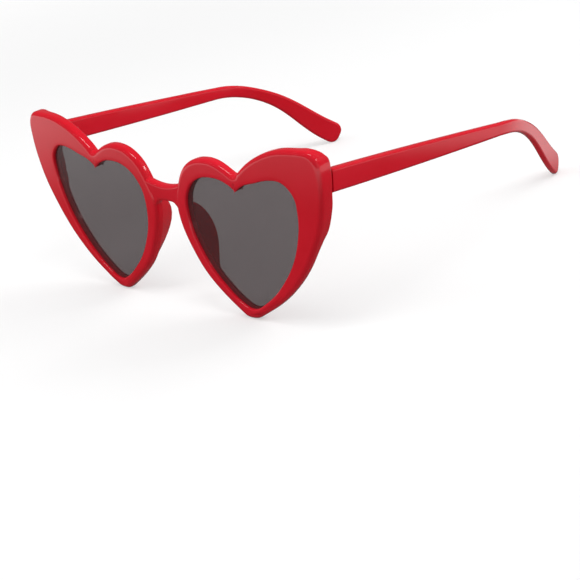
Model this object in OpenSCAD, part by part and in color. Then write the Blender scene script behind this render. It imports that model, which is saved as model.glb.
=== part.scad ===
// Heart shaped sunglasses: a moulded front with two tinted lenses and two folding temples.
// Millimetres. X runs across the face, the front looks towards -Y and +Z is up.
// The temples are open, and the pair stands on its two heart tips and two temple tips.

/* [Front] */
// Width across the two wing corners
front_w = 148; // [136:1:160]
// Height from the heart tips to the wing tops
front_h = 63.1; // [58:0.1:68]
// Gap between the two hearts under the bridge
heart_gap = 11; // [9:0.5:15]
// Thickness of the front plate
plate_t = 3.8; // [3.4:0.1:4.6]
// Radius of the front's wrap round the face
wrap_r = 800; // [600:10:2000]
// Lean of the front, top backwards, in degrees
front_tilt = 2.4; // [0:0.1:5]
// Rounding of the outer front edge
edge_r = 1.3; // [0.6:0.1:1.6]
// Rounding of the outer back edge
back_edge_r = 0.9; // [0.4:0.1:1.2]

/* [Lens openings] */
// Rim width on the nose side
rim_nose = 5.3; // [4.5:0.1:6.5]
// Rim width under the wing corner
rim_wing = 11.9; // [10:0.1:13]
// Rim width at the heart tip
rim_tip = 3.6; // [3:0.1:4.5]
// Drop from the wing top to the top of the opening
rim_top = 11.2; // [10:0.1:12.5]
// Rounding of the opening's front edge
opening_r = 0.7; // [0.3:0.1:0.9]

/* [Lenses] */
// Thickness of a lens
lens_t = 1.8; // [1.4:0.1:2.2]
// Depth of the lens behind the front face
lens_recess = 1.1; // [0.9:0.05:1.3]
// Depth of the lens groove in the rim
groove_d = 0.6; // [0.4:0.05:0.8]
// Clearance round a lens in its groove
lens_gap = 0.1; // [0.05:0.01:0.15]

/* [Bridge and nose pads] */
// Height of the bridge at its middle
bridge_h = 5; // [4:0.1:6]
// Drop from the wing top to the bridge's underside
bridge_drop = 23.1; // [21:0.1:25]
// Setback of the bridge behind the front face
bridge_setback = 0.4; // [0.2:0.1:0.8]
// Reach of a nose pad behind the front plate
pad_reach = 7.4; // [5:0.1:9]
// Height of a pad's upper end above the heart tips
pad_top = 38.6; // [36:0.1:39]
// Height of a pad's widest point above the heart tips
pad_peak = 29.5; // [27:0.1:32]
// Height of a pad's lower end above the heart tips
pad_bottom = 12.8; // [11:0.1:16]
// Thickness of a pad at its root
pad_root_t = 3.4; // [2.8:0.1:3.6]
// Thickness of a pad at its edge
pad_edge_t = 2; // [1.4:0.1:2.6]

/* [Endpieces] */
// Distance from the foremost plane to the endpiece's rear face, at the hinge's middle
end_y = 11.7; // [10.8:0.1:12.4]
// Lean of the endpiece's rear face, top backwards, in degrees
end_lean = 7; // [0:0.5:12]
// Distance from the wing corner inwards to where the endpiece begins
end_inset = 15.8; // [14:0.1:17]
// Drop from the wing top to the endpiece's lower end
end_low_drop = 32.1; // [20:0.1:35]
// Drop from the wing top to where the endpiece is at its full depth
end_high_drop = 4.5; // [2.5:0.1:8]
// Length over which the endpiece thickens from the plate
end_ramp = 5.5; // [4.5:0.1:6.5]

/* [Temples] */
// Distance of the temples' outer faces inside the wing corners
temple_inset = 0.7; // [0.4:0.1:3]
// Drop from the wing top to the temple's centre line at the front
temple_drop = 11.7; // [11:0.1:13.5]
// Slope of the straight part, in degrees
temple_slope = 9.9; // [8:0.1:11]
// Length of the straight part
temple_straight = 85.2; // [80:0.1:94]
// Length from the end of the straight part to the tip, along Y
ear_length = 49; // [42:0.1:54]
// Inward curve of the temple at its tip
tip_inward = 15; // [8:0.5:18]
// Height of the temple at the front
temple_front_h = 8; // [7.2:0.1:9]
// Height of the temple at its waist
temple_waist_h = 4.7; // [4.2:0.1:6]
// Height of the paddle at the tip
temple_tip_h = 7.5; // [7:0.1:10]
// Rounding of the paddle's two end corners
tip_corner_r = 2.8; // [2:0.1:3.4]
// Thickness of the temple at the front
temple_front_t = 3.4; // [3:0.1:4]
// Thickness of the temple at the tip
temple_tip_t = 3.1; // [2.6:0.1:3.8]
// Rounding of the temple's long edges
temple_edge_r = 1.1; // [0.6:0.1:1.3]
// Gap between the endpiece and the open temple
butt_gap = 0.3; // [0.2:0.05:0.5]

/* [Hinges] */
// Distance of the pivot from the temple's inner face
pivot_in = 1.8; // [1.75:0.05:2.2]
// Distance of the pivot behind the endpiece
pivot_back = 2.4; // [2.2:0.1:2.8]
// Drop from the wing top to the hinge's middle
hinge_drop = 12.7; // [12.2:0.1:13.4]
// Outer radius of a knuckle
knuckle_r = 1.6; // [1.4:0.05:1.65]
// Height of each of the two outer knuckles
outer_knuckle_h = 1.5; // [1.2:0.1:1.7]
// Height of the middle knuckle
inner_knuckle_h = 1.8; // [1.4:0.1:2]
// Play between neighbouring knuckles
knuckle_gap = 0.08; // [0.05:0.01:0.15]
// Radius of the screw's shank
screw_r = 0.7; // [0.6:0.05:0.8]
// Radial clearance of the screw in its bores
screw_fit = 0.05; // [0.02:0.01:0.1]
// Radius of the screw's head
screw_head_r = 1.25; // [1.1:0.05:1.35]
// Height of the screw's head
screw_head_h = 0.6; // [0.4:0.1:0.8]
// Width of the screw's slot
slot_w = 0.35; // [0.25:0.05:0.5]
// Depth of the screw's slot
slot_d = 0.3; // [0.2:0.05:0.35]
// Width of the hinge plate in the front
plate_w = 4.4; // [4:0.1:4.8]
// Height of the hinge plate in the front
hinge_plate_h = 6; // [5.4:0.1:6.6]
// Thickness of the hinge plate in the front
hinge_plate_t = 1.2; // [0.8:0.1:1.6]
// Length of the hinge leaf in the temple
leaf_l = 8; // [6:0.5:9]
// Height of the hinge leaf in the temple
leaf_h = 4.4; // [3.8:0.1:4.6]
// Thickness of the hinge leaf in the temple
leaf_t = 1; // [0.8:0.1:1.2]
// Clearance round the hinge metal in its pockets
pocket_gap = 0.05; // [0.02:0.01:0.1]

/* [Hidden] */

// Overrun of every cut past its face
cut_over = 0.5;
// Steps between two neighbouring nodes of a heart outline
curve_steps = 5;
// Length of a curve's handle as a share of the chord between two nodes
handle_share = 0.37;

// Heart outline of the front: share across, share up, heading in degrees, from the tip
heart_shares = [
    [0.410, 0.000, 0], [0.466, 0.016, 30], [0.708, 0.198, 43], [0.912, 0.490, 61],
    [0.982, 0.690, 77], [1.000, 0.869, 90], [0.977, 0.967, 128], [0.854, 1.000, 180],
    [0.650, 0.959, 202], [0.479, 0.847, 220], [0.448, 0.821, 180], [0.419, 0.831, 148],
    [0.261, 0.892, 180], [0.112, 0.841, 217], [0.036, 0.726, 245], [0.000, 0.598, 268],
    [0.069, 0.327, 297], [0.212, 0.132, 319], [0.358, 0.012, 325]];
// The front heart's height as a share of its width, as its nodes are drawn
heart_aspect_share = 0.915;

// Heart outline of the lens opening, node for node beside the front's
opening_shares = [
    [0.456, 0.000, 0], [0.558, 0.040, 33], [0.788, 0.253, 50], [0.967, 0.593, 73],
    [0.998, 0.756, 87], [1.000, 0.833, 90], [0.963, 0.942, 130], [0.852, 1.000, 180],
    [0.686, 0.969, 197], [0.542, 0.923, 208], [0.491, 0.904, 180], [0.441, 0.921, 152],
    [0.287, 0.965, 180], [0.113, 0.912, 213], [0.029, 0.814, 240], [0.000, 0.676, 270],
    [0.066, 0.392, 297], [0.230, 0.154, 317], [0.386, 0.025, 333]];
// The opening's height as a share of its width, as its nodes are drawn
opening_aspect_share = 0.934;
// The nodes between which the nose side of the heart lies
nose_nodes = [15, 18];

// Places that keep to the wing corners and the wing tops
end_x = front_w / 2 - end_inset;
end_low = front_h - end_low_drop;
end_high = front_h - end_high_drop;
temple_x = front_w / 2 - temple_inset;
temple_z = front_h - temple_drop;
hinge_z = front_h - hinge_drop;
bridge_z = front_h - bridge_drop;

heart_w = (front_w - heart_gap) / 2;
opening_x = heart_gap / 2 + rim_nose;
opening_w = front_w / 2 - rim_wing - opening_x;
opening_h = front_h - rim_top - rim_tip;

function unit(v) = v / norm(v);
function mix(a, b, t) = a + (b - a) * t;
function ramp(t) = t <= 0 ? 0 : t >= 1 ? 1 : t * t * (3 - 2 * t);
function bezier(a, b, c, d, t) =
    pow(1 - t, 3) * a + 3 * pow(1 - t, 2) * t * b + 3 * (1 - t) * t * t * c + pow(t, 3) * d;
function heading(a) = [cos(a), sin(a)];
function reversed(list) = [for (k = [len(list) - 1:-1:0]) list[k]];

// A smooth piece of outline from one node to the next, leaving and arriving along their headings
function span_points(p, a, q, b, steps, last = 0) =
    let (reach = norm(q - p) * handle_share)
    [for (k = [0:steps - 1 + last])
        bezier(p, p + reach * heading(a), q - reach * heading(b), q, k / steps)];

// A closed outline through nodes given as shares, scaled to its width and height
function closed_outline(nodes, aspect, low, width, height) = [
    for (i = [0:len(nodes) - 1])
        let (n = nodes[i], m = nodes[(i + 1) % len(nodes)])
        for (p = span_points([n.x, n.y * aspect], n[2], [m.x, m.y * aspect], m[2], curve_steps))
            [low.x + p.x * width, low.y + p.y * height / aspect]];

heart_line = closed_outline(heart_shares, heart_aspect_share,
    [heart_gap / 2, 0], heart_w, front_h);
opening_line = closed_outline(opening_shares, opening_aspect_share,
    [opening_x, rim_tip], opening_w, opening_h);

// The direction to the left of a closed line at point i, which is the inside of a heart
function left_of(line, i) =
    let (n = len(line), t = line[(i + 1) % n] - line[(i + n - 1) % n])
    unit([-t.y, t.x]);
function moved(line, d) = [for (i = [0:len(line) - 1]) line[i] + left_of(line, i) * d];

// Y of the front face at x and z
function face_y(x, z) = wrap_r - sqrt(wrap_r * wrap_r - x * x) + z * tan(front_tilt);
foremost = min([for (p = heart_line) face_y(p.x, p.y)]);

// How far the plate has thickened into the endpiece at x and z, from 0 to 1
function end_blend(x, z) =
    ramp((x - end_x) / end_ramp)
    * ramp((z - end_low) / end_ramp)
    * ramp((front_h - z) / (front_h - end_high));
function end_face(z) = end_y + (z - hinge_z) * tan(end_lean);
function back_y(x, z) = mix(face_y(x, z) + plate_t, end_face(z), end_blend(x, z));

// Faces that join rings of equal length, closed on themselves or capped at both ends
function side_faces(rings, count, closed) = [
    for (i = [0:rings - (closed ? 1 : 2)], k = [0:count - 1], half = [0, 1])
        let (a = i * count, b = ((i + 1) % rings) * count, m = (k + 1) % count)
        half == 0 ? [a + k, b + k, b + m] : [a + k, b + m, a + m]];
function cap_faces(rings, count) = [
    [for (k = [0:count - 1]) k],
    [for (k = [count - 1:-1:0]) (rings - 1) * count + k]];

// Steps across the rear face of the rim
back_steps = 8;
// Section of the rim at station i, round the rim from the outer wall over the front face,
// down the lens opening with its groove, and back across the rear face
function rim_section(i) =
    let (
        outer = heart_line[i],
        inner = opening_line[i],
        in_dir = left_of(heart_line, i),
        out_dir = -left_of(opening_line, i),
        groove_a = lens_recess - lens_gap,
        groove_b = lens_recess + lens_t + lens_gap,
        outer_back = outer + in_dir * back_edge_r,
        inner_back = inner + out_dir * opening_r / 2,
        front = concat(
            [for (a = [0:30:90]) [outer + in_dir * edge_r * (1 - cos(a)), edge_r * (1 - sin(a))]],
            [for (a = [90:-45:0]) [inner + out_dir * opening_r * (1 - cos(a)),
                opening_r * (1 - sin(a))]],
            [[inner, groove_a], [inner + out_dir * groove_d, groove_a],
                [inner + out_dir * groove_d, groove_b], [inner, groove_b]]),
        back = concat(
            [for (k = [1:back_steps - 1]) [mix(inner_back, outer_back, k / back_steps), 0]],
            [for (a = [90:-45:0]) [outer + in_dir * back_edge_r * (1 - cos(a)),
                back_edge_r * (1 - sin(a))]]))
    concat(
        [for (p = front) [p[0].x, face_y(p[0].x, p[0].y) + p[1], p[0].y]],
        [[inner.x, face_y(inner.x, inner.y) + plate_t - opening_r / 2, inner.y],
            [inner_back.x, face_y(inner_back.x, inner_back.y) + plate_t, inner_back.y]],
        [for (p = back) [p[0].x, back_y(p[0].x, p[0].y) - p[1], p[0].y]]);

module rim() {
    stations = [for (i = [0:len(heart_line) - 1]) rim_section(i)];
    polyhedron([for (s = stations, p = reversed(s)) p],
        side_faces(len(stations), len(stations[0]), true), convexity = 6);
}

// A closed section with rounded corners, from half sizes
function rounded_section(a, b, r) =
    let (c = min(r, a, b))
    [for (q = [[1, 1, 0], [-1, 1, 90], [-1, -1, 180], [1, -1, 270]], k = [0:30:90])
        [q.x * (a - c) + c * cos(q[2] + k), q.y * (b - c) + c * sin(q[2] + k)]];

// The bridge, lowest at its middle above and flared into the hearts below
bridge_rise_share = 0.0045;
bridge_flare_share = 0.025;
bridge_half = heart_gap / 2 + rim_nose / 2;
module bridge() {
    reach = bridge_half;
    sections = [for (k = [-6:6])
        let (
            x = reach * k / 6,
            out = max(0, abs(x) - heart_gap / 4),
            top = bridge_z + bridge_h + bridge_rise_share * x * x * bridge_h,
            low = bridge_z - bridge_flare_share * out * out * heart_gap,
            mid_z = (top + low) / 2,
            mid_y = (bridge_setback + plate_t) / 2)
        [for (p = rounded_section((plate_t - bridge_setback) / 2, (top - low) / 2, edge_r))
            [x, face_y(x, mid_z + p.y) + mid_y + p.x, mid_z + p.y]]];
    polyhedron([for (s = sections, p = s) p],
        concat(side_faces(len(sections), len(sections[0]), false),
            cap_faces(len(sections), len(sections[0]))), convexity = 4);
}

// The nose side of the heart as a table from height to x
nose_line = [for (i = [nose_nodes[1] * curve_steps:-1:nose_nodes[0] * curve_steps - curve_steps])
    [heart_line[i].y, heart_line[i].x]];
// How far a pad's root lies inside the back face
pad_seat = 0.5;
// How far a pad leans outwards for each millimetre that it reaches backwards
pad_flare_share = 0.25;
// Full roundness below the widest point, and a blunter end above it
pad_blunt_share = 0.8;
function pad_shape(z) =
    z > pad_peak ? pow(1 - pow((z - pad_peak) / (pad_top - pad_peak), 2), pad_blunt_share)
    : 1 - pow((pad_peak - z) / (pad_peak - pad_bottom), 2);
pad_steps = 16;
module nose_pad() {
    sections = [for (k = [0:pad_steps])
        let (
            z = pad_bottom + (pad_top - pad_bottom) * (1 - cos(180 * k / pad_steps)) / 2,
            reach = max((pad_reach + pad_seat) * pad_shape(z), pad_seat / 2),
            root_x = lookup(z, nose_line) + rim_nose / 2,
            root_y = face_y(root_x, z) + plate_t - pad_seat,
            edge_c = pad_edge_t / 2,
            edge_y = min(reach / 2, edge_c),
            lean = reach * pad_flare_share)
        concat(
            [[root_x - pad_root_t / 2, root_y, z]],
            [for (a = [180:-30:0])
                [root_x + lean + edge_c * cos(a), root_y + reach - edge_y * (1 - sin(a)), z]],
            [[root_x + pad_root_t / 2, root_y, z]])];
    polyhedron([for (s = sections, p = reversed(s)) p],
        concat(side_faces(len(sections), len(sections[0]), false),
            cap_faces(len(sections), len(sections[0]))), convexity = 4);
}

// Hinge places, on the wearer's left, where X is positive
pivot_x = temple_x - temple_front_t - pivot_in;
pivot_y = end_y + pivot_back;
stack_h = 2 * outer_knuckle_h + inner_knuckle_h + 2 * knuckle_gap;
stack_low = hinge_z - stack_h / 2;
inner_face_x = temple_x - temple_front_t;

module hinge_plate_block(gap, depth_over) {
    translate([pivot_x, end_y, hinge_z])
        rotate([-end_lean, 0, 0])
        translate([-plate_w / 2 - gap, -hinge_plate_t - gap, -hinge_plate_h / 2 - gap])
        cube([plate_w + 2 * gap, hinge_plate_t + gap + depth_over, hinge_plate_h + 2 * gap]);
}

module leaf_block(gap, depth_over) {
    translate([inner_face_x - depth_over, pivot_y - knuckle_r - gap, hinge_z - leaf_h / 2 - gap])
        cube([leaf_t + gap + depth_over, leaf_l + 2 * gap, leaf_h + 2 * gap]);
}

// The temple's centre line seen from the side: straight, then over the ear to the tip
tip_slope = 40;
temple_y = end_face(temple_z) + butt_gap;
straight_end = [temple_y, temple_z] + temple_straight * [cos(temple_slope), -sin(temple_slope)];
tip_centre = [straight_end.x + ear_length - tip_corner_r,
    tip_corner_r + (temple_tip_h / 2 - tip_corner_r) * cos(tip_slope)];
// The ear bend's node between them: share along, share down, heading
ear_node_shares = [0.48, 0.275, 34.5];
ear_node = [mix(straight_end.x, tip_centre.x, ear_node_shares[0]),
    mix(straight_end.y, tip_centre.y, ear_node_shares[1])];
ear_steps = 7;
// Each station: y, z, slope and its share of the way from front to waist, then waist to tip
straight_stations = [for (t = [0:0.25:0.75])
    [mix(temple_y, straight_end.x, t), mix(temple_z, straight_end.y, t), -temple_slope, t, 0]];
function ear_stations(p, a, q, b, from, to, last) = [
    for (k = [0:ear_steps - 1 + last])
        let (
            c = span_points(p, a, q, b, ear_steps, 1)[k],
            t = k / ear_steps)
        [c.x, c.y, mix(a, b, ramp(t)), 1, mix(from, to, t)]];
bend_share = 0.28;
temple_stations = concat(straight_stations,
    ear_stations(straight_end, -temple_slope, ear_node, -ear_node_shares[2], 0, bend_share, 0),
    ear_stations(ear_node, -ear_node_shares[2], tip_centre, -tip_slope, bend_share, 1, 1));

function temple_half_h(s) =
    mix(mix(temple_front_h, temple_waist_h, s[3]), temple_tip_h,
        s[4] <= bend_share ? 0 : ramp((s[4] - bend_share) / (1 - bend_share))) / 2;
function temple_half_t(s) =
    mix(temple_front_t, temple_tip_t, (s.x - temple_y) / (tip_centre.x - temple_y)) / 2;
// The outer face's distance from the middle at a distance along Y: straight, then a bend that
// passes into a nearly straight run towards the tip
inward_bend_share = 0.25;
function inward(u) =
    (sqrt(u * u + inward_bend_share * inward_bend_share) - inward_bend_share)
    / (sqrt(1 + inward_bend_share * inward_bend_share) - inward_bend_share);
function ear_way(y) = max(0, (y - straight_end.x) / (tip_centre.x - straight_end.x));
function outer_x(y) = temple_x - tip_inward * inward(ear_way(y));
function outer_turn(y) = atan2(outer_x(y) - outer_x(y + ear_step), ear_step);
ear_step = 0.1;

function temple_section(s, half_h, half_t, first) =
    let (
        across = [cos(outer_turn(s.x)), sin(outer_turn(s.x)), 0],
        up = first ? [0, sin(end_lean), cos(end_lean)] / cos(temple_slope - end_lean)
            : [0, -sin(s[2]), cos(s[2])],
        centre = [outer_x(s.x), s.x, s.y] - across * half_t)
    [for (p = rounded_section(half_t, half_h, temple_edge_r)) centre + across * p.x + up * p.y];

// Sections of the rounded tip, at turns round its corners; the tip's own slope is among them,
// so that the lowest point stands on the table
tip_turns = [tip_slope / 2, tip_slope, 58, 74, 90];
tip_last = temple_stations[len(temple_stations) - 1];
tip_sections = [for (a = tip_turns)
    let (
        c = tip_centre + tip_corner_r * sin(a) * heading(-tip_slope),
        s = [c.x, c.y, -tip_slope, 1, 1])
    temple_section(s, temple_tip_h / 2 - tip_corner_r * (1 - cos(a)),
        temple_half_t(tip_last) - (a == 90 ? temple_edge_r / 2 : 0), false)];

module temple_bar() {
    body = [for (i = [0:len(temple_stations) - 1])
        let (s = temple_stations[i])
        temple_section(s, temple_half_h(s), temple_half_t(s), i == 0)];
    rings = concat(body, tip_sections);
    polyhedron([for (s = rings, p = reversed(s)) p],
        concat(side_faces(len(rings), len(rings[0]), false),
            cap_faces(len(rings), len(rings[0]))), convexity = 4);
}

module temple_solid() {
    difference() {
        temple_bar();
        leaf_block(pocket_gap, cut_over);
    }
}

module lens_solid() {
    lens_line = moved(opening_line, -(groove_d - lens_gap));
    intersection() {
        translate([0, end_y, 0])
            rotate([90, 0, 0])
            linear_extrude(height = 2 * end_y)
            polygon(lens_line);
        rotate([-front_tilt, 0, 0])
            difference() {
                translate([0, wrap_r + lens_recess, -front_h / 2])
                    cylinder(r = wrap_r, h = 2 * front_h, $fn = 720);
                translate([0, wrap_r + lens_recess + lens_t, -front_h / 2 - cut_over])
                    cylinder(r = wrap_r, h = 2 * front_h + 2 * cut_over, $fn = 720);
            }
    }
}

module knuckle(low, high) {
    translate([pivot_x, pivot_y, low])
        cylinder(r = knuckle_r, h = high - low, $fn = 48);
}

module screw_bore() {
    translate([pivot_x, pivot_y, stack_low - cut_over])
        cylinder(r = screw_r + screw_fit, h = stack_h + 2 * cut_over, $fn = 48);
}

// Plate let into the endpiece, with the two outer knuckles on arms
module hinge_front_solid() {
    difference() {
        union() {
            hinge_plate_block(0, 0);
            for (low = [stack_low, stack_low + stack_h - outer_knuckle_h]) {
                knuckle(low, low + outer_knuckle_h);
                translate([pivot_x - knuckle_r, end_y - hinge_plate_t / 2, low])
                    cube([2 * knuckle_r, pivot_back + hinge_plate_t / 2, outer_knuckle_h]);
            }
        }
        screw_bore();
    }
}

// Leaf let into the temple's inner face, with the middle knuckle
module hinge_temple_solid() {
    low = stack_low + outer_knuckle_h + knuckle_gap;
    difference() {
        union() {
            leaf_block(0, 0);
            knuckle(low, low + inner_knuckle_h);
            translate([pivot_x, pivot_y - knuckle_r, low])
                cube([pivot_in + leaf_t / 2, 2 * knuckle_r, inner_knuckle_h]);
        }
        screw_bore();
    }
}

// Pivot screw with a slotted head on the upper knuckle
module hinge_screw_solid() {
    difference() {
        translate([pivot_x, pivot_y, stack_low])
            union() {
                cylinder(r = screw_r, h = stack_h + screw_head_h / 2, $fn = 48);
                translate([0, 0, stack_h])
                    cylinder(r = screw_head_r, h = screw_head_h, $fn = 48);
            }
        translate([pivot_x - slot_w / 2, pivot_y - knuckle_r, stack_low + stack_h
            + screw_head_h - slot_d])
            cube([slot_w, 2 * knuckle_r, slot_d + cut_over]);
    }
}

// The middle of the open pair in depth, which is set over the origin
rearmost = max([for (ring = tip_sections, p = ring) p.y]);
module placed() {
    translate([0, -(foremost + rearmost) / 2, 0])
        children();
}

module front_frame() {
    color("crimson")
        placed()
        difference() {
            union() {
                rim();
                mirror([1, 0, 0]) rim();
                bridge();
                nose_pad();
                mirror([1, 0, 0]) nose_pad();
            }
            hinge_plate_block(pocket_gap, cut_over);
            mirror([1, 0, 0]) hinge_plate_block(pocket_gap, cut_over);
        }
}

module lens_left() {
    color("dimgray") placed() lens_solid();
}

module lens_right() {
    color("dimgray") placed() mirror([1, 0, 0]) lens_solid();
}

module temple_left() {
    color("crimson") placed() temple_solid();
}

module temple_right() {
    color("crimson") placed() mirror([1, 0, 0]) temple_solid();
}

module hinge_front_left() {
    color("silver") placed() hinge_front_solid();
}

module hinge_front_right() {
    color("silver") placed() mirror([1, 0, 0]) hinge_front_solid();
}

module hinge_temple_left() {
    color("silver") placed() hinge_temple_solid();
}

module hinge_temple_right() {
    color("silver") placed() mirror([1, 0, 0]) hinge_temple_solid();
}

module hinge_screw_left() {
    color("gray") placed() hinge_screw_solid();
}

module hinge_screw_right() {
    color("gray") placed() mirror([1, 0, 0]) hinge_screw_solid();
}

front_frame();
lens_left();
lens_right();
temple_left();
temple_right();
hinge_front_left();
hinge_front_right();
hinge_temple_left();
hinge_temple_right();
hinge_screw_left();
hinge_screw_right();
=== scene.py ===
import math

import bmesh
import bpy
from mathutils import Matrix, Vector


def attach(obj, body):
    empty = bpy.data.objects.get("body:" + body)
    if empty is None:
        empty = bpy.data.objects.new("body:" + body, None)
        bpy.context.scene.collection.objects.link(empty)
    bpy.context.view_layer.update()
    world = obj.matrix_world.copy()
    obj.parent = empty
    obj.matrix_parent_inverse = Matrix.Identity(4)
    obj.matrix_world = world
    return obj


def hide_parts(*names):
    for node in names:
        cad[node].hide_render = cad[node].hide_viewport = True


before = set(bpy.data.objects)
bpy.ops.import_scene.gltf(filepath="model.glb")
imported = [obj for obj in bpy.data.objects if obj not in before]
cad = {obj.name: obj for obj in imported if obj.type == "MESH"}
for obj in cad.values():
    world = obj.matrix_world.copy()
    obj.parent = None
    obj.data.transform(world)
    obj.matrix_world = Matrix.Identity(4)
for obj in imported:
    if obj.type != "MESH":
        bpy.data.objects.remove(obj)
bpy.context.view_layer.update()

# how the whole front is wrapped and leaned, and how far it stands before the origin
face = {
    "wrapRadius": 0.800,
    "lean": math.radians(2.4),
    "shiftY": 0.072955,
}

# points closer than merge become one, and points within near count as one place
gaps = {"merge": 1e-6, "near": 1e-5}
shading = {"angle": math.radians(40), "weight": 70}


def selectOnly(ob):
    bpy.ops.object.select_all(action="DESELECT")
    ob.select_set(True)
    bpy.context.view_layer.objects.active = ob


def startEdit(ob):
    selectOnly(ob)
    bpy.ops.object.mode_set(mode="EDIT")


def endEdit():
    bpy.ops.object.mode_set(mode="OBJECT")


def pickAll():
    bpy.ops.mesh.select_all(action="SELECT")


def pick(ob, kind, test):
    bpy.ops.mesh.select_mode(type=kind)
    bpy.ops.mesh.select_all(action="DESELECT")
    bm = bmesh.from_edit_mesh(ob.data)
    bm.normal_update()
    parts = {"VERT": bm.verts, "EDGE": bm.edges, "FACE": bm.faces}[kind]
    chosen = [part for part in parts if not part.hide and test(part)]
    for part in chosen:
        part.select_set(True)
    bm.select_flush_mode()
    bmesh.update_edit_mesh(ob.data)
    return len(chosen)


def pushOut(x=0.0, y=0.0, z=0.0):
    bpy.ops.mesh.extrude_region_move(TRANSFORM_OT_translate={"value": (x, y, z)})


def roundEdges(size, steps):
    bpy.ops.mesh.bevel(offset=size, segments=steps, profile=0.5, affect="EDGES")


def turnOutwards():
    pickAll()
    bpy.ops.mesh.normals_make_consistent(inside=False)


def softly(reach):
    return {
        "use_proportional_edit": True,
        "proportional_edit_falloff": "SMOOTH",
        "proportional_size": reach,
    }


def applyModifiers(ob):
    selectOnly(ob)
    for modifier in list(ob.modifiers):
        bpy.ops.object.modifier_apply(modifier=modifier.name)


def settle(ob, place):
    selectOnly(ob)
    ob.location = place
    bpy.ops.object.transform_apply(location=True, rotation=True, scale=True)


def mirrored(ob, name):
    twin = ob.copy()
    twin.data = ob.data.copy()
    twin.name = name
    twin.data.name = name
    bpy.context.scene.collection.objects.link(twin)
    startEdit(twin)
    pickAll()
    bpy.ops.transform.mirror(constraint_axis=(True, False, False), center_override=(0, 0, 0))
    turnOutwards()
    endEdit()
    return twin


def cutBlock(ob, centre, size, lean=0.0):
    bpy.ops.object.select_all(action="DESELECT")
    bpy.ops.mesh.primitive_cube_add(size=1, location=centre, rotation=(lean, 0, 0), scale=size)
    block = bpy.context.object
    cut = ob.modifiers.new("pocket", "BOOLEAN")
    cut.operation = "DIFFERENCE"
    cut.solver = "EXACT"
    cut.object = block
    applyModifiers(ob)
    bpy.data.objects.remove(block)


def startPlane(name, rotation=(0, 0, 0)):
    bpy.ops.object.select_all(action="DESELECT")
    bpy.ops.mesh.primitive_plane_add(size=1, rotation=rotation)
    plane = bpy.context.object
    plane.name = name
    bpy.ops.object.transform_apply(location=False, rotation=True, scale=False)
    startEdit(plane)
    pickAll()
    return plane


def smoothShade(ob):
    selectOnly(ob)
    bpy.ops.object.shade_smooth_by_angle(angle=shading["angle"])
    even = ob.modifiers.new("even", "WEIGHTED_NORMAL")
    even.keep_sharp = True
    even.weight = shading["weight"]
    bpy.ops.object.modifier_apply(modifier=even.name)


# the depth of the front's face at a place
def faceY(x, z):
    radius = face["wrapRadius"]
    return radius - math.sqrt(radius * radius - x * x) + z * math.tan(face["lean"])


def wrap(ob):
    bend = ob.modifiers.new("wrap", "SIMPLE_DEFORM")
    bend.deform_method = "BEND"
    bend.deform_axis = "Z"
    bend.angle = ob.dimensions.x / face["wrapRadius"]
    applyModifiers(ob)


def leanBack(ob):
    startEdit(ob)
    pickAll()
    bpy.ops.transform.rotate(value=face["lean"], orient_axis="X", center_override=(0, 0, 0))
    endEdit()


def inMm(lengths):
    return [round(length * 1000, 2) for length in lengths]


# heart outlines: share across, share up, heading in degrees, and at a corner the heading after it
hearts = {
    "rim": [
        (0.410, 0.000, 0), (0.466, 0.016, 30), (0.708, 0.198, 43), (0.912, 0.490, 61),
        (0.982, 0.690, 77), (1.000, 0.869, 90), (0.977, 0.967, 128), (0.854, 1.000, 180),
        (0.650, 0.959, 202), (0.479, 0.847, 220), (0.448, 0.821, 180), (0.419, 0.831, 148),
        (0.261, 0.892, 180), (0.112, 0.841, 217), (0.036, 0.726, 245), (0.000, 0.598, 268),
        (0.069, 0.327, 297), (0.212, 0.132, 319), (0.358, 0.012, 325),
    ],
    "opening": [
        (0.456, 0.000, 0), (0.558, 0.040, 33), (0.788, 0.253, 50), (0.967, 0.593, 73),
        (0.998, 0.756, 87), (1.000, 0.833, 90), (0.963, 0.942, 130), (0.852, 1.000, 180),
        (0.686, 0.969, 197), (0.542, 0.921, 209), (0.490, 0.882, 216, 145), (0.441, 0.919, 152),
        (0.287, 0.960, 180), (0.113, 0.912, 213), (0.029, 0.814, 240), (0.000, 0.676, 270),
        (0.066, 0.392, 297), (0.230, 0.154, 317), (0.386, 0.025, 333),
    ],
    "rimBox": (0.0055, 0.0, 0.0685, 0.0631),
    "openingBox": (0.0108, 0.0036, 0.0513, 0.0483),
    "middle": (0.036, 0, 0.026),
    "noseSide": (0.026, 0.047),
    "handleShare": 0.37,
    "steps": 14,
}


def heading(degrees):
    angle = math.radians(degrees)
    return Vector((math.cos(angle), 0, math.sin(angle)))


def heartLoop(name, nodes, box, grow=0.0):
    bpy.ops.object.select_all(action="DESELECT")
    bpy.ops.curve.primitive_bezier_circle_add(radius=box[2] / 2)
    loop = bpy.context.object
    loop.name = name
    loop.data.dimensions = "3D"
    loop.data.resolution_u = hearts["steps"]
    points = loop.data.splines[0].bezier_points
    points.add(len(nodes) - len(points))
    spots = [Vector((box[0] + box[2] * n[0], 0, box[1] + box[3] * n[1])) for n in nodes]
    for i, node in enumerate(nodes):
        before, after = heading(node[2]), heading(node[-1])
        mean = (before + after).normalized()
        toNext = (spots[(i + 1) % len(spots)] - spots[i]).length
        fromLast = (spots[i] - spots[i - 1]).length
        point = points[i]
        point.handle_left_type = point.handle_right_type = "FREE"
        point.co = spots[i] + Vector((mean.z, 0, -mean.x)) * grow
        point.handle_right = point.co + after * toNext * hearts["handleShare"]
        point.handle_left = point.co - before * fromLast * hearts["handleShare"]
    bpy.ops.object.convert(target="MESH")
    return bpy.context.object


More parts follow.
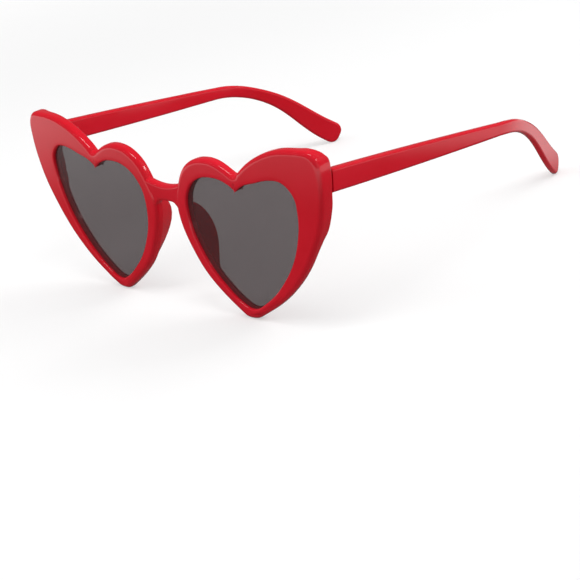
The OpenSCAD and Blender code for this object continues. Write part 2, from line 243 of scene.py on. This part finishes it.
# front: one heart as a flat ring, wrapped, leaned, thickened at the hinge and rounded
front = {
    "plate": 0.0038,
    "band": 0.0019,
    "cuts": 8,
    "heldDepth": 0.002,
    "endX": 0.0652,
    "endY": 0.0117,
    "endZ": (0.0366, 0.0586),
    "endLean": math.radians(7),
    "endSoft": 0.0060,
    # the swellings below the hinge: from z, to z, beyond x, soft reach
    "belly": (0.0345, 0.0430, 0.066, 0.0060),
    "heel": (0.0300, 0.0335, 0.064, 0.0048),
    "swell": 0.0005,
    "lift": 0.00015,
    "hingeX": 0.0681,
    "hingeZ": 0.0504,
    "plateBlock": (0.0045, 0.00175, 0.0061),
    "plateSink": 0.000375,
    # the roundings: size and steps
    "frontOuter": (0.0016, 6),
    "frontInner": (0.0006, 3),
    "backOuter": (0.0008, 3),
    "backInner": (0.00025, 2),
    "faceShare": 0.9,
    "wallShare": 0.5,
    "cornerAngle": 0.7,
}


def frontRing():
    ring = heartLoop("frontShell", hearts["rim"], hearts["rimBox"])
    sideX, sideZ = hearts["noseSide"]
    spots = [v.co for v in ring.data.vertices if v.co.x < sideX and v.co.z < sideZ]
    noseLine = sorted((spot.z, spot.x) for spot in spots)
    heartLoop("openingLoop", hearts["opening"], hearts["openingBox"])
    ring.select_set(True)
    bpy.context.view_layer.objects.active = ring
    bpy.ops.object.join()
    startEdit(ring)
    pickAll()
    bpy.ops.mesh.remove_doubles(threshold=gaps["merge"])
    bpy.ops.mesh.bridge_edge_loops()
    pickAll()
    pushOut(y=front["plate"])
    turnOutwards()
    # a plain band beside each edge leaves room for the rounding, strips fill the rest
    pick(ring, "FACE", lambda f: abs(f.normal.y) > front["faceShare"])
    bpy.ops.mesh.inset(thickness=front["band"])
    bm = bmesh.from_edit_mesh(ring.data)
    bm.edges.index_update()
    across = {e.index for e in bm.edges if all(f.select for f in e.link_faces)}
    pick(ring, "EDGE", lambda e: e.index in across)
    bpy.ops.mesh.subdivide(number_cuts=front["cuts"])
    endEdit()
    wrap(ring)
    leanBack(ring)
    print("stage ring", inMm(ring.dimensions), len(ring.data.polygons))
    return ring, noseLine


# the back of the wing corner is drawn to a flat that leans with the temple
def raiseEndpiece(ring):
    startEdit(ring)
    pick(ring, "VERT", lambda v: v.co.y - faceY(v.co.x, v.co.z) < front["heldDepth"])
    bpy.ops.mesh.hide(unselected=False)
    low, high = front["endZ"]
    pick(ring, "VERT", lambda v: v.co.x > front["endX"] and low < v.co.z < high)
    pivot = (front["hingeX"], front["endY"], front["hingeZ"])
    soft = softly(front["endSoft"])
    bpy.ops.transform.resize(value=(1, 0, 1), center_override=pivot, **soft)
    bpy.ops.transform.rotate(
        value=front["endLean"], orient_axis="X", center_override=pivot, **soft
    )
    for low, high, beyond, reach in (front["belly"], front["heel"]):
        pick(ring, "VERT", lambda v: v.co.x > beyond and low < v.co.z < high)
        bpy.ops.transform.translate(value=(0, front["swell"], 0), **softly(reach))
    bpy.ops.mesh.reveal(select=False)
    endEdit()
    print("stage endpiece", inMm([max(v.co.y for v in ring.data.vertices)]))


def rimEdge(edge, atFront, atOuter):
    if len(edge.link_faces) != 2:
        return False
    one, other = edge.link_faces
    flat, wall = (one, other) if abs(one.normal.y) > abs(other.normal.y) else (other, one)
    if abs(wall.normal.y) > front["wallShare"] or (flat.normal.y < 0) != atFront:
        return False
    outward = (edge.verts[0].co + edge.verts[1].co) / 2 - Vector(hearts["middle"])
    outward.y = 0
    return (wall.normal.dot(outward) > 0) == atOuter


def roundFront(ring):
    startEdit(ring)
    for key, atFront, atOuter in (
        ("frontOuter", True, True),
        ("frontInner", True, False),
        ("backOuter", False, True),
        ("backInner", False, False),
    ):
        count = pick(
            ring,
            "EDGE",
            lambda e: rimEdge(e, atFront, atOuter) and e.calc_face_angle() > front["cornerAngle"],
        )
        roundEdges(*front[key])
        print("stage rounding", key, count)
    endEdit()


def cutPlatePocket(ring):
    sink, lean = front["plateSink"], front["endLean"]
    centre = (
        front["hingeX"],
        front["endY"] - sink * math.cos(lean),
        front["hingeZ"] + sink * math.sin(lean) - front["lift"],
    )
    cutBlock(ring, centre, front["plateBlock"], -lean)
    print("stage pocket", len(ring.data.polygons))


ring, noseLine = frontRing()
raiseEndpiece(ring)
roundFront(ring)
cutPlatePocket(ring)

# bridge: half of it from the middle, rising and flaring into the heart
bridge = {
    "low": 0.0380,
    "high": 0.0441,
    "setback": 0.0004,
    "reach": 0.0082,
    "steps": 6,
    "rise": 22.5,
    "flare": 275,
    "flareFrom": 0.00275,
    "edge": (0.0013, 4),
    "cornerAngle": 0.7,
    "sideLeast": 0.0005,
}


def bridgeSpan(x):
    beyond = max(0.0, x - bridge["flareFrom"])
    low = bridge["low"] - bridge["flare"] * beyond * beyond
    high = bridge["high"] + bridge["rise"] * x * x
    return low, high


def isBridgeEdge(e):
    return (
        len(e.link_faces) == 2
        and e.calc_face_angle() > bridge["cornerAngle"]
        and abs(e.verts[0].co.x - e.verts[1].co.x) > bridge["sideLeast"]
    )


def bridgeHalf():
    half = startPlane("bridgeHalf", (0, math.pi / 2, 0))
    x, thick = 0.0, front["plate"] - bridge["setback"]
    low, high = bridgeSpan(x)
    middle = (low + high) / 2
    bpy.ops.transform.resize(value=(1, thick, high - low))
    depth = faceY(x, middle) + bridge["setback"] + thick / 2
    bpy.ops.transform.translate(value=(0, depth, middle))
    for k in range(1, bridge["steps"] + 1):
        newX = bridge["reach"] * k / bridge["steps"]
        newLow, newHigh = bridgeSpan(newX)
        newMiddle = (newLow + newHigh) / 2
        pushOut(newX - x, faceY(newX, newMiddle) - faceY(x, middle), newMiddle - middle)
        bpy.ops.transform.resize(value=(1, 1, (newHigh - newLow) / (high - low)))
        x, low, high, middle = newX, newLow, newHigh, newMiddle
    # the end in the middle stays open for the mirrored half
    pick(half, "FACE", lambda f: f.calc_center_median().x < gaps["near"])
    bpy.ops.mesh.delete(type="ONLY_FACE")
    turnOutwards()
    pick(half, "EDGE", isBridgeEdge)
    roundEdges(*bridge["edge"])
    endEdit()
    print("stage bridge", inMm(half.dimensions))
    return half


# nose pad: a fin that follows the heart's nose side
pad = {
    "low": 0.0098,
    "peak": 0.0274,
    "high": 0.0383,
    "reach": 0.0068,
    "reachLeast": 0.0004,
    "lowCurve": 1.85,
    "highCurve": 0.65,
    "seat": 0.0005,
    "root": 0.0034,
    "edge": 0.0020,
    "flareShare": 0.27,
    "inset": 0.0019,
    "steps": 18,
    "round": (0.00085, 4),
    "roundBehind": 0.0036,
    "cornerAngle": 0.6,
}


def noseX(z):
    for (z0, x0), (z1, x1) in zip(noseLine, noseLine[1:]):
        if z0 <= z <= z1:
            return x0 + (x1 - x0) * (z - z0) / max(z1 - z0, gaps["merge"])
    return noseLine[-1][1]


def padShape(z):
    if z > pad["peak"]:
        share, power = (z - pad["peak"]) / (pad["high"] - pad["peak"]), pad["highCurve"]
    else:
        share, power = (pad["peak"] - z) / (pad["peak"] - pad["low"]), pad["lowCurve"]
    return max(1 - share * share, 0.0) ** power


# the section's place at its root and how far it reaches back
def padPlace(k):
    z = pad["low"] + (pad["high"] - pad["low"]) * (1 - math.cos(math.pi * k / pad["steps"])) / 2
    x = noseX(z) + pad["inset"]
    y = faceY(x, z) + front["plate"] - pad["seat"]
    reach = max((pad["reach"] + pad["seat"]) * padShape(z), pad["reachLeast"])
    return x, y, z, reach


def isPadEdge(e):
    return (
        len(e.link_faces) == 2
        and e.calc_face_angle() > pad["cornerAngle"]
        and min(v.co.y - faceY(v.co.x, v.co.z) for v in e.verts) > pad["roundBehind"]
        and abs(e.verts[0].co.z - e.verts[1].co.z) > gaps["near"]
    )


def nosePad():
    fin = startPlane("nosePad")
    x, y, z, reach = padPlace(0)
    bpy.ops.transform.resize(value=(pad["root"], reach, 1))
    bpy.ops.transform.translate(value=(x, y + reach / 2, z))
    pick(fin, "VERT", lambda v: v.co.y > y + reach / 2)
    bpy.ops.transform.resize(value=(pad["edge"] / pad["root"], 1, 1))
    bpy.ops.transform.translate(value=(reach * pad["flareShare"], 0, 0))
    for k in range(1, pad["steps"] + 1):
        newX, newY, newZ, newReach = padPlace(k)
        pick(fin, "FACE", lambda f: abs(f.calc_center_median().z - z) < gaps["merge"])
        pushOut(newX - x, newY - y, newZ - z)
        pick(
            fin,
            "VERT",
            lambda v: abs(v.co.z - newZ) < gaps["merge"] and v.co.y > newY + reach / 2,
        )
        grow = newReach - reach
        bpy.ops.transform.translate(value=(grow * pad["flareShare"], grow, 0))
        x, y, z, reach = newX, newY, newZ, newReach
    turnOutwards()
    pick(fin, "EDGE", isPadEdge)
    roundEdges(*pad["round"])
    endEdit()
    print("stage pad", inMm(fin.dimensions))
    return fin


def wholeFront(parts):
    bpy.ops.object.select_all(action="DESELECT")
    for part in parts:
        part.select_set(True)
    bpy.context.view_layer.objects.active = ring
    bpy.ops.object.join()
    shell = bpy.context.object
    shell.name = "frontShell"
    flip = shell.modifiers.new("otherHalf", "MIRROR")
    flip.use_axis[0] = True
    flip.merge_threshold = gaps["near"]
    applyModifiers(shell)
    startEdit(shell)
    turnOutwards()
    endEdit()
    settle(shell, (0, -face["shiftY"], front["lift"]))
    smoothShade(shell)
    print("stage front", inMm(shell.dimensions), len(shell.data.polygons))
    return shell


shell = wholeFront((bridgeHalf(), nosePad(), ring))
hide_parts("front_frame")
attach(shell, "front")

# lenses: a heart cut in strips so that it bends smoothly, then given its thickness
lens = {"thick": 0.0018, "recess": 0.0011, "grow": 0.0002, "strip": 0.0026}


def lensPane():
    pane = heartLoop("lensLeft", hearts["opening"], hearts["openingBox"], lens["grow"])
    startEdit(pane)
    pickAll()
    bpy.ops.mesh.remove_doubles(threshold=gaps["merge"])
    bpy.ops.mesh.edge_face_add()
    x = hearts["openingBox"][0]
    while x < hearts["openingBox"][0] + hearts["openingBox"][2]:
        pickAll()
        bpy.ops.mesh.bisect(plane_co=(x, 0, 0), plane_no=(1, 0, 0))
        x += lens["strip"]
    pickAll()
    pushOut(y=lens["thick"])
    pickAll()
    bpy.ops.transform.translate(value=(0, lens["recess"], 0))
    turnOutwards()
    endEdit()
    wrap(pane)
    leanBack(pane)
    settle(pane, (0, -face["shiftY"], front["lift"]))
    print("stage lens", inMm(pane.dimensions), len(pane.data.polygons))
    return pane


pane = lensPane()
paneRight = mirrored(pane, "lensRight")
for ob, side in ((pane, "left"), (paneRight, "right")):
    smoothShade(ob)
    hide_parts("lens_" + side)
    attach(ob, "front")

# temples: a straight bar with its taper and paddle, then laid along the temple's line
temple = {
    "outerX": 0.0733,
    "z": 0.0514,
    "slope": math.radians(10.0),
    "straight": 0.0852,
    "earLength": 0.049,
    # a place in the ear bend: share back, share down, slope
    "earNode": (0.48, 0.275, math.radians(34.5)),
    "handleShare": 0.37,
    "inward": 0.015,
    "bendShare": 0.25,
    "frontH": 0.0080,
    "waistH": 0.0047,
    "tipH": 0.0086,
    "taper": 1.6,
    "swellShare": 0.26,
    "tipCorner": (0.0035, 8),
    "tipSpare": 0.0004,
    "tipLift": 0.00013,
    "tipSlope": math.radians(40),
    "frontT": 0.0034,
    "tipT": 0.0023,
    "edge": (0.0010, 4),
    "cornerAngle": 0.9,
    "acrossLeast": 0.001,
    "acrossMost": 0.0005,
    "squareEnd": 0.0005,
    "gap": 0.0003,
    "straightParts": 4,
    "bendParts": 8,
    "frontSections": 8,
    "earSections": 24,
    "lineSteps": 12,
    "leafAt": (0.070175, 0.0165, 0.0504),
    "leafBlock": (0.00155, 0.0081, 0.0045),
}
tipCorner = temple["tipCorner"][0]
startY = (
    front["endY"] + (temple["z"] - front["hingeZ"]) * math.tan(front["endLean"]) + temple["gap"]
)
straightEnd = Vector((
    startY + temple["straight"] * math.cos(temple["slope"]),
    temple["z"] - temple["straight"] * math.sin(temple["slope"]),
))
tipCentre = Vector((
    straightEnd.x + temple["earLength"] - tipCorner,
    temple["tipLift"] + tipCorner + (temple["tipH"] / 2 - tipCorner) * math.cos(temple["tipSlope"]),
))


def downBy(angle):
    return Vector((math.cos(angle), -math.sin(angle)))


def sideCurve(start, startSlope, end, endSlope):
    reach = (end - start).length * temple["handleShare"]
    first = start + downBy(startSlope) * reach
    last = end - downBy(endSlope) * reach
    shares = [k / temple["bendParts"] for k in range(temple["bendParts"])]
    return [
        (1 - t) ** 3 * start + 3 * (1 - t) ** 2 * t * first + 3 * (1 - t) * t * t * last + t ** 3 * end
        for t in shares
    ]


# the bar's middle moves inwards behind the straight stretch
def middleX(y):
    run = tipCentre.x - straightEnd.x
    u = max(0.0, (y - straightEnd.x) / run)
    soft = temple["bendShare"]
    root = math.sqrt(u * u + soft * soft)
    whole = math.sqrt(1 + soft * soft) - soft
    turn = math.atan(temple["inward"] * u / root / whole / run)
    share = (y - startY) / (tipCentre.x - startY)
    half = (temple["frontT"] + (temple["tipT"] - temple["frontT"]) * share) / 2
    return temple["outerX"] - temple["inward"] * (root - soft) / whole - half * math.cos(turn)


def templeLine():
    backShare, downShare, slope = temple["earNode"]
    fall = tipCentre - straightEnd
    earNode = straightEnd + Vector((fall.x * backShare, fall.y * downShare))
    start = Vector((startY, temple["z"]))
    parts = temple["straightParts"]
    side = [start.lerp(straightEnd, k / parts) for k in range(parts)]
    side += sideCurve(straightEnd, temple["slope"], earNode, slope)
    side += sideCurve(earNode, slope, tipCentre, temple["tipSlope"])
    side += [tipCentre, tipCentre + downBy(temple["tipSlope"]) * tipCorner]
    return [Vector((middleX(spot.x), spot.x, spot.y)) for spot in side]


line = templeLine()
along = [0.0]
for spot, nextSpot in zip(line, line[1:]):
    along.append(along[-1] + (nextSpot - spot).length)
total = along[-1]
waistAt = along[temple["straightParts"]]
swellAt = waistAt + (total - waistAt) * temple["swellShare"]


def barSize(s):
    if s < waistAt:
        share = (s / waistAt) ** temple["taper"]
        high = temple["frontH"] + (temple["waistH"] - temple["frontH"]) * share
    else:
        share = min(max((s - swellAt) / (total - tipCorner - swellAt), 0.0), 1.0)
        share = share * share * (3 - 2 * share)
        high = temple["waistH"] + (temple["tipH"] - temple["waistH"]) * share
    thick = temple["frontT"] + (temple["tipT"] - temple["frontT"]) * s / total
    return high, thick


def isTipCorner(e):
    return (
        min(v.co.y for v in e.verts) > total - gaps["near"]
        and abs(e.verts[0].co.x - e.verts[1].co.x) > temple["acrossLeast"]
    )


def isBarEdge(e):
    return (
        len(e.link_faces) == 2
        and e.calc_face_angle() > temple["cornerAngle"]
        and max(v.co.y for v in e.verts) > temple["squareEnd"]
        and abs(e.verts[0].co.x - e.verts[1].co.x) < temple["acrossMost"]
    )


def straightBar():
    bar = startPlane("templeLeft", (math.pi / 2, 0, 0))
    high, thick = barSize(0)
    bpy.ops.transform.resize(value=(thick, 1, high))
    near, far = temple["frontSections"], temple["earSections"]
    stops = [waistAt * k / near for k in range(1, near + 1)]
    stops += [waistAt + (total - waistAt) * k / far for k in range(1, far)]
    # the last stretch stays undivided for the rounding of the tip
    lastStop = total - tipCorner - temple["tipSpare"]
    stops = [stop for stop in stops if stop < lastStop] + [total]
    s = 0.0
    for stop in stops:
        newHigh, newThick = barSize(stop)
        pushOut(y=stop - s)
        bpy.ops.transform.resize(value=(newThick / thick, 1, newHigh / high))
        s, high, thick = stop, newHigh, newThick
    turnOutwards()
    pick(bar, "EDGE", isTipCorner)
    roundEdges(*temple["tipCorner"])
    pick(bar, "EDGE", isBarEdge)
    roundEdges(*temple["edge"])
    endEdit()
    print("stage bar", inMm(bar.dimensions), "along its line", inMm([total]))
    return bar


def layAlongLine(bar):
    bpy.ops.object.select_all(action="DESELECT")
    bpy.ops.curve.primitive_bezier_curve_add(radius=1)
    path = bpy.context.object
    path.name = "templeLine"
    path.data.dimensions = "3D"
    path.data.twist_mode = "Z_UP"
    path.data.resolution_u = temple["lineSteps"]
    points = path.data.splines[0].bezier_points
    points.add(len(line) - len(points))
    for point, spot in zip(points, line):
        point.handle_left_type = point.handle_right_type = "AUTO"
        point.co = spot
        point.tilt = math.pi / 2
    follow = bar.modifiers.new("line", "CURVE")
    follow.object = path
    follow.deform_axis = "POS_Y"
    applyModifiers(bar)
    bpy.data.objects.remove(path)
    cutBlock(bar, temple["leafAt"], temple["leafBlock"])
    settle(bar, (0, -face["shiftY"], 0))
    print("stage temple", inMm(bar.dimensions), "lowest", min(v.co.z for v in bar.data.vertices))


bar = straightBar()
layAlongLine(bar)
barRight = mirrored(bar, "templeRight")
for ob, side in ((bar, "left"), (barRight, "right")):
    smoothShade(ob)
    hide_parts("temple_" + side)
    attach(ob, "temple_" + side)


# materials
def addNode(nodes, kind, values=None, **settings):
    node = nodes.new("ShaderNode" + kind)
    for name, value in settings.items():
        setattr(node, name, value)
    for name, value in (values or {}).items():
        node.inputs[name].default_value = value
    return node


def grading(nodes, reach, levels=(0.0, 1.0), interpolation="SMOOTHSTEP"):
    values = {
        "From Min": reach[0], "From Max": reach[1], "To Min": levels[0], "To Max": levels[1],
    }
    return addNode(nodes, "MapRange", values, interpolation_type=interpolation)


def nodeMaterial(name):
    material = bpy.data.materials.new(name)
    material.use_nodes = True
    nodes = material.node_tree.nodes
    nodes.clear()
    return material, nodes, material.node_tree.links


def twoTones(nodes, dark, light, places=(0.0, 1.0)):
    ramp = addNode(nodes, "ValToRGB")
    for stop, place, tone in zip(ramp.color_ramp.elements, places, (dark, light)):
        stop.position = place
        stop.color = tuple(tone) + (1,)
    return ramp


plasticSpec = {
    "dark": (0.590, 0.004, 0.014),
    "light": (0.640, 0.006, 0.020),
    "toneAt": (0.35, 0.65),
    "cloudScale": 35,
    "cloudDetail": 3,
    "skinScale": 260,
    "skinDepth": 0.0001,
    "rough": (0.10, 0.14),
    "bump": 0.008,
    "ior": 1.47,
    "gloss": 0.5,
    "coat": 0.3,
    "coatRough": 0.03,
}


def plastic(name, spec):
    material, nodes, links = nodeMaterial(name)
    out = addNode(nodes, "OutputMaterial")
    bsdf = addNode(nodes, "BsdfPrincipled", {
        "IOR": spec["ior"],
        "Specular IOR Level": spec["gloss"],
        "Coat Weight": spec["coat"],
        "Coat Roughness": spec["coatRough"],
    })
    coord = addNode(nodes, "TexCoord")
    cloud = addNode(nodes, "TexNoise", {"Scale": spec["cloudScale"], "Detail": spec["cloudDetail"]})
    tone = twoTones(nodes, spec["dark"], spec["light"], spec["toneAt"])
    rough = grading(nodes, (0, 1), spec["rough"], "LINEAR")
    skin = addNode(nodes, "TexNoise", {"Scale": spec["skinScale"]})
    bump = addNode(nodes, "Bump", {"Strength": spec["bump"], "Distance": spec["skinDepth"]})
    links.new(coord.outputs["Object"], cloud.inputs["Vector"])
    links.new(coord.outputs["Object"], skin.inputs["Vector"])
    links.new(cloud.outputs["Fac"], tone.inputs["Fac"])
    links.new(cloud.outputs["Fac"], rough.inputs["Value"])
    links.new(tone.outputs["Color"], bsdf.inputs["Base Color"])
    links.new(rough.outputs["Result"], bsdf.inputs["Roughness"])
    links.new(skin.outputs["Fac"], bump.inputs["Height"])
    links.new(bump.outputs["Normal"], bsdf.inputs["Normal"])
    links.new(bsdf.outputs["BSDF"], out.inputs["Surface"])
    return material


lensSpec = {
    "tint": (0.362, 0.338, 0.340),
    "uneven": 0.02,
    "cloudScale": 20,
    "haze": 0.035,
    "hazeTone": (0.50, 0.48, 0.50, 1),
    "rough": 0.02,
    "mirror": 0.035,
    "steepness": 5,
}


# a tinted sheet with a little haze, and a mirror that grows towards its edge
def lensSheet(name, spec):
    material, nodes, links = nodeMaterial(name)
    out = addNode(nodes, "OutputMaterial")
    clear = addNode(nodes, "BsdfTransparent")
    haze = addNode(nodes, "BsdfDiffuse", {"Color": spec["hazeTone"]})
    body = addNode(nodes, "MixShader", {"Fac": spec["haze"]})
    gloss = addNode(nodes, "BsdfGlossy", {"Roughness": spec["rough"]})
    facing = addNode(nodes, "LayerWeight", {"Blend": 0.5})
    steep = addNode(nodes, "Math", {1: spec["steepness"]}, operation="POWER")
    share = grading(nodes, (0, 1), (spec["mirror"], 1), "LINEAR")
    coord = addNode(nodes, "TexCoord")
    cloud = addNode(nodes, "TexNoise", {"Scale": spec["cloudScale"]})
    tint = twoTones(
        nodes,
        [tone * (1 - spec["uneven"]) for tone in spec["tint"]],
        [tone * (1 + spec["uneven"]) for tone in spec["tint"]],
    )
    mix = addNode(nodes, "MixShader")
    links.new(coord.outputs["Object"], cloud.inputs["Vector"])
    links.new(cloud.outputs["Fac"], tint.inputs["Fac"])
    links.new(tint.outputs["Color"], clear.inputs["Color"])
    links.new(facing.outputs["Facing"], steep.inputs[0])
    links.new(steep.outputs[0], share.inputs["Value"])
    links.new(share.outputs["Result"], mix.inputs["Fac"])
    links.new(clear.outputs["BSDF"], body.inputs[1])
    links.new(haze.outputs["BSDF"], body.inputs[2])
    links.new(body.outputs["Shader"], mix.inputs[1])
    links.new(gloss.outputs["BSDF"], mix.inputs[2])
    links.new(mix.outputs["Shader"], out.inputs["Surface"])
    return material


hingeSpec = {
    "colour": (0.80, 0.79, 0.77),
    "rough": 0.28,
    "metallic": 0.75,
    "grainScale": 1500,
    "darkShare": 0.9,
    "scuff": 0.2,
}
screwSpec = dict(hingeSpec, colour=(0.66, 0.65, 0.64), rough=0.32)


def metal(name, spec):
    material, nodes, links = nodeMaterial(name)
    out = addNode(nodes, "OutputMaterial")
    bsdf = addNode(nodes, "BsdfPrincipled", {"Metallic": spec["metallic"]})
    coord = addNode(nodes, "TexCoord")
    grain = addNode(nodes, "TexNoise", {"Scale": spec["grainScale"]})
    levels = (spec["rough"] * (1 - spec["scuff"]), spec["rough"] * (1 + spec["scuff"]))
    scuff = grading(nodes, (0, 1), levels, "LINEAR")
    tone = twoTones(nodes, [c * spec["darkShare"] for c in spec["colour"]], spec["colour"])
    links.new(coord.outputs["Object"], grain.inputs["Vector"])
    links.new(grain.outputs["Fac"], scuff.inputs["Value"])
    links.new(grain.outputs["Fac"], tone.inputs["Fac"])
    links.new(tone.outputs["Color"], bsdf.inputs["Base Color"])
    links.new(scuff.outputs["Result"], bsdf.inputs["Roughness"])
    links.new(bsdf.outputs["BSDF"], out.inputs["Surface"])
    return material


def dress(obs, material):
    for ob in obs:
        ob.data.materials.clear()
        ob.data.materials.append(material)


dress([shell], plastic("frontRed", plasticSpec))
dress([bar, barRight], plastic("templeRed", dict(plasticSpec, cloudScale=28)))
dress([pane, paneRight], lensSheet("lensTint", lensSpec))
hinges = ["hinge_" + part + side for part in ("front_", "temple_") for side in ("left", "right")]
dress([cad[name] for name in hinges], metal("hingeMetal", hingeSpec))
dress([cad["hinge_screw_left"], cad["hinge_screw_right"]], metal("screwMetal", screwSpec))
print("stage materials", len(bpy.data.materials))

# floor: lift and mirrored are pairs of levels, mirrored being those of the painted reflection; the
# other pairs are where a grading starts and ends
floorSpec = {
    "size": 6.0,
    "colour": 0.44,
    "lift": (0.46, 0.78),
    "liftFar": (0.25, 0.8),
    # painted reflection: the rim is where the painted shade round the object ends, the four gradings
    # place painted bright pools
    "paintedShadeRim": (0.16, 0.36),
    "paintedPoolRightX": (0.03, 0.07),
    "paintedPoolRightY": (0.055, 0.10),
    "paintedPoolLeftX": (-0.075, -0.11),
    "paintedPoolLeftY": (-0.03, 0.02),
    "mirrored": (0.10, 1.0),
}


# the camera sees the paper lifted to white with its shadow kept, and what the plastic mirrors of it
# is a painted reflection: painted shade round the object, white far out, painted white pools at the
# back
def floorPaper(spec):
    material, nodes, links = nodeMaterial("floorPaper")
    out = addNode(nodes, "OutputMaterial")
    matt = addNode(nodes, "BsdfDiffuse", {"Color": (spec["colour"],) * 3 + (1,)})
    rays = addNode(nodes, "LightPath")
    coord = addNode(nodes, "TexCoord")
    away = addNode(nodes, "VectorMath", operation="LENGTH")
    split = addNode(nodes, "SeparateXYZ")
    links.new(coord.outputs["Object"], away.inputs[0])
    links.new(coord.outputs["Object"], split.inputs["Vector"])

    seen = addNode(nodes, "Math", operation="MAXIMUM")
    far = grading(nodes, spec["liftFar"], spec["lift"])
    lift = addNode(nodes, "Math", operation="MULTIPLY")
    glow = addNode(nodes, "Emission")
    lifted = addNode(nodes, "AddShader")
    links.new(rays.outputs["Is Camera Ray"], seen.inputs[0])
    links.new(rays.outputs["Is Transmission Ray"], seen.inputs[1])
    links.new(away.outputs["Value"], far.inputs["Value"])
    links.new(seen.outputs[0], lift.inputs[0])
    links.new(far.outputs["Result"], lift.inputs[1])
    links.new(lift.outputs[0], glow.inputs["Strength"])
    links.new(matt.outputs["BSDF"], lifted.inputs[0])
    links.new(glow.outputs["Emission"], lifted.inputs[1])

    # painted bright pools beside the object at the back, and painted shade fading out round it
    right = addNode(nodes, "Math", operation="MULTIPLY")
    left = addNode(nodes, "Math", operation="MULTIPLY")
    either = addNode(nodes, "Math", operation="MAXIMUM")
    white = addNode(nodes, "Math", operation="MAXIMUM")
    for key, source, target in (
        ("paintedPoolRightX", split.outputs["X"], right.inputs[0]),
        ("paintedPoolRightY", split.outputs["Y"], right.inputs[1]),
        ("paintedPoolLeftX", split.outputs["X"], left.inputs[0]),
        ("paintedPoolLeftY", split.outputs["Y"], left.inputs[1]),
        ("paintedShadeRim", away.outputs["Value"], white.inputs[1]),
    ):
        grade = grading(nodes, spec[key])
        links.new(source, grade.inputs["Value"])
        links.new(grade.outputs["Result"], target)
    # the glossy-ray emission is a painted reflection, dim near the object as painted shade and white
    # in the pools and far out
    level = grading(nodes, (0, 1), spec["mirrored"], "LINEAR")
    paintedReflection = addNode(nodes, "Emission")
    choose = addNode(nodes, "MixShader")
    links.new(right.outputs[0], either.inputs[0])
    links.new(left.outputs[0], either.inputs[1])
    links.new(either.outputs[0], white.inputs[0])
    links.new(white.outputs[0], level.inputs["Value"])
    links.new(level.outputs["Result"], paintedReflection.inputs["Strength"])
    links.new(rays.outputs["Is Glossy Ray"], choose.inputs["Fac"])
    links.new(lifted.outputs["Shader"], choose.inputs[1])
    links.new(paintedReflection.outputs["Emission"], choose.inputs[2])
    links.new(choose.outputs["Shader"], out.inputs["Surface"])
    return material


bpy.ops.object.select_all(action="DESELECT")
bpy.ops.mesh.primitive_plane_add(size=floorSpec["size"], location=(0, 0, 0))
floor = bpy.context.object
floor.name = "floor"
floor.data.materials.append(floorPaper(floorSpec))

worldSpec = {
    "light": 0.60,
    "seen": 1.0,
    "gradeX": (0.7, 1.4),
    "mirrored": (0.15, 1.0),
}


# white to the camera, a plain level of light, and graded across X in what is mirrored
def studioWorld(spec):
    world = bpy.data.worlds.new("studio")
    world.use_nodes = True
    nodes = world.node_tree.nodes
    links = world.node_tree.links
    nodes.clear()
    out = addNode(nodes, "OutputWorld")
    back = addNode(nodes, "Background", {"Color": (1, 1, 1, 1)})
    rays = addNode(nodes, "LightPath")
    around = addNode(nodes, "TexCoord")
    split = addNode(nodes, "SeparateXYZ")
    grade = grading(nodes, spec["gradeX"], spec["mirrored"])
    unseen = addNode(nodes, "Mix", {"A": spec["light"]}, data_type="FLOAT")
    seen = addNode(nodes, "Math", operation="MAXIMUM")
    level = addNode(nodes, "Mix", {"B": spec["seen"]}, data_type="FLOAT")
    links.new(around.outputs["Generated"], split.inputs["Vector"])
    links.new(split.outputs["X"], grade.inputs["Value"])
    links.new(rays.outputs["Is Glossy Ray"], unseen.inputs["Factor"])
    links.new(grade.outputs["Result"], unseen.inputs["B"])
    links.new(unseen.outputs["Result"], level.inputs["A"])
    links.new(rays.outputs["Is Camera Ray"], seen.inputs[0])
    links.new(rays.outputs["Is Transmission Ray"], seen.inputs[1])
    links.new(seen.outputs[0], level.inputs["Factor"])
    links.new(level.outputs["Result"], back.inputs["Strength"])
    links.new(back.outputs["Background"], out.inputs["Surface"])
    return world


bpy.context.scene.world = studioWorld(worldSpec)

# the large lamps shade softly, and only the small ones are mirrored:
# name, place, size, watts, mirrored
lamps = [
    ("topLamp", (0.17, -0.10, 0.58), (0.28, 0.28), 0.75, False),
    ("backLamp", (0.36, 0.50, 0.42), (0.50, 0.50), 2.9, False),
    ("fillLamp", (-0.30, -0.38, 0.34), (0.35, 0.35), 1.15, False),
    ("topGlint", (0.09, -0.10, 0.62), (0.30, 0.05), 0.50, True),
    ("backGlint", (0.774, 0.597, 0.638), (0.12, 0.12), 0.50, True),
]
lampAim = (0, 0, 0.03)
for name, place, size, watts, isMirrored in lamps:
    bpy.ops.object.light_add(type="AREA", location=place)
    lamp = bpy.context.object
    lamp.name = name
    lamp.data.shape = "RECTANGLE"
    lamp.data.size, lamp.data.size_y = size
    lamp.data.energy = watts
    lamp.visible_glossy = isMirrored
    lamp.rotation_mode = "QUATERNION"
    lamp.rotation_quaternion = (Vector(lampAim) - Vector(place)).to_track_quat("-Z", "Y")
print("stage light", len(lamps))

# camera: its turn is in degrees, and its focal length in pixels of a picture this wide
viewSpec = {
    "spot": (0.469134, -0.366237, 0.255940),
    "turn": (66.0156, 10.6547, 43.7270),
    "focal": 1843.405,
    "pixels": 580,
    "sensor": 36,
    "clip": (0.02, 20),
}
bpy.ops.object.camera_add(
    location=Vector(viewSpec["spot"]) - Vector((0, face["shiftY"], 0)),
    rotation=[math.radians(angle) for angle in viewSpec["turn"]],
)
camera = bpy.context.object
camera.name = "camera"
camera.data.sensor_width = viewSpec["sensor"]
camera.data.sensor_fit = "HORIZONTAL"
camera.data.lens = viewSpec["focal"] * viewSpec["sensor"] / viewSpec["pixels"]
camera.data.clip_start, camera.data.clip_end = viewSpec["clip"]
bpy.context.scene.camera = camera
bpy.context.scene.view_settings.view_transform = "Standard"
